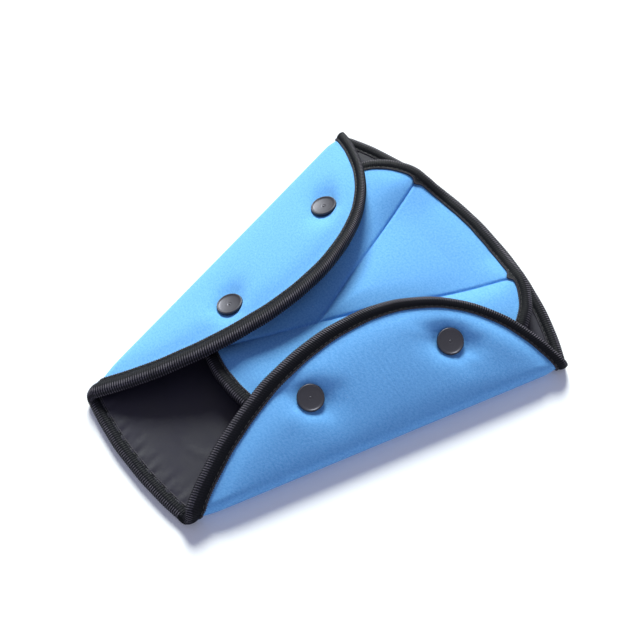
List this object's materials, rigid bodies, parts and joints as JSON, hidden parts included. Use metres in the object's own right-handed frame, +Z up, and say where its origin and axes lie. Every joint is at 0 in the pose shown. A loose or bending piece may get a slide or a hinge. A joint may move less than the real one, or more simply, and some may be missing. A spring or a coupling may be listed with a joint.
{
  "type": "seat belt shoulder pad",
  "caption": "Bound foam pad shaped like a trapezoid, with side flaps folded over a quilted centre pad and held by press snaps.",
  "frame": {"origin": "centre of the bounding box on the flat underside", "axes": "+Z up out of the back panel, +Y towards the wide end, +X to the right seen from the mouth with the flaps up"},
  "size_m": [0.1904, 0.2384, 0.0359],
  "materials": {
    "knit": "fine light blue knit bonded to foam",
    "lining": "plain black woven lining",
    "binding": "black cross-ribbed tape",
    "snap": "glossy black"
  },
  "bodies": {
    "root": {"shell_panel": "knit", "shell_lining": "lining", "shell_binding": "binding", "centre_pad": "knit", "centre_lining": "lining", "centre_binding": "binding", "snap_cap_left_near": "snap", "snap_socket_left_near": "snap", "snap_stud_left_near": "snap", "snap_back_left_near": "snap", "snap_cap_right_near": "snap", "snap_socket_right_near": "snap", "snap_stud_right_near": "snap", "snap_back_right_near": "snap", "snap_cap_left_far": "snap", "snap_socket_left_far": "snap", "snap_stud_left_far": "snap", "snap_back_left_far": "snap", "snap_cap_right_far": "snap", "snap_socket_right_far": "snap", "snap_stud_right_far": "snap", "snap_back_right_far": "snap"}
  },
  "joints": []
}
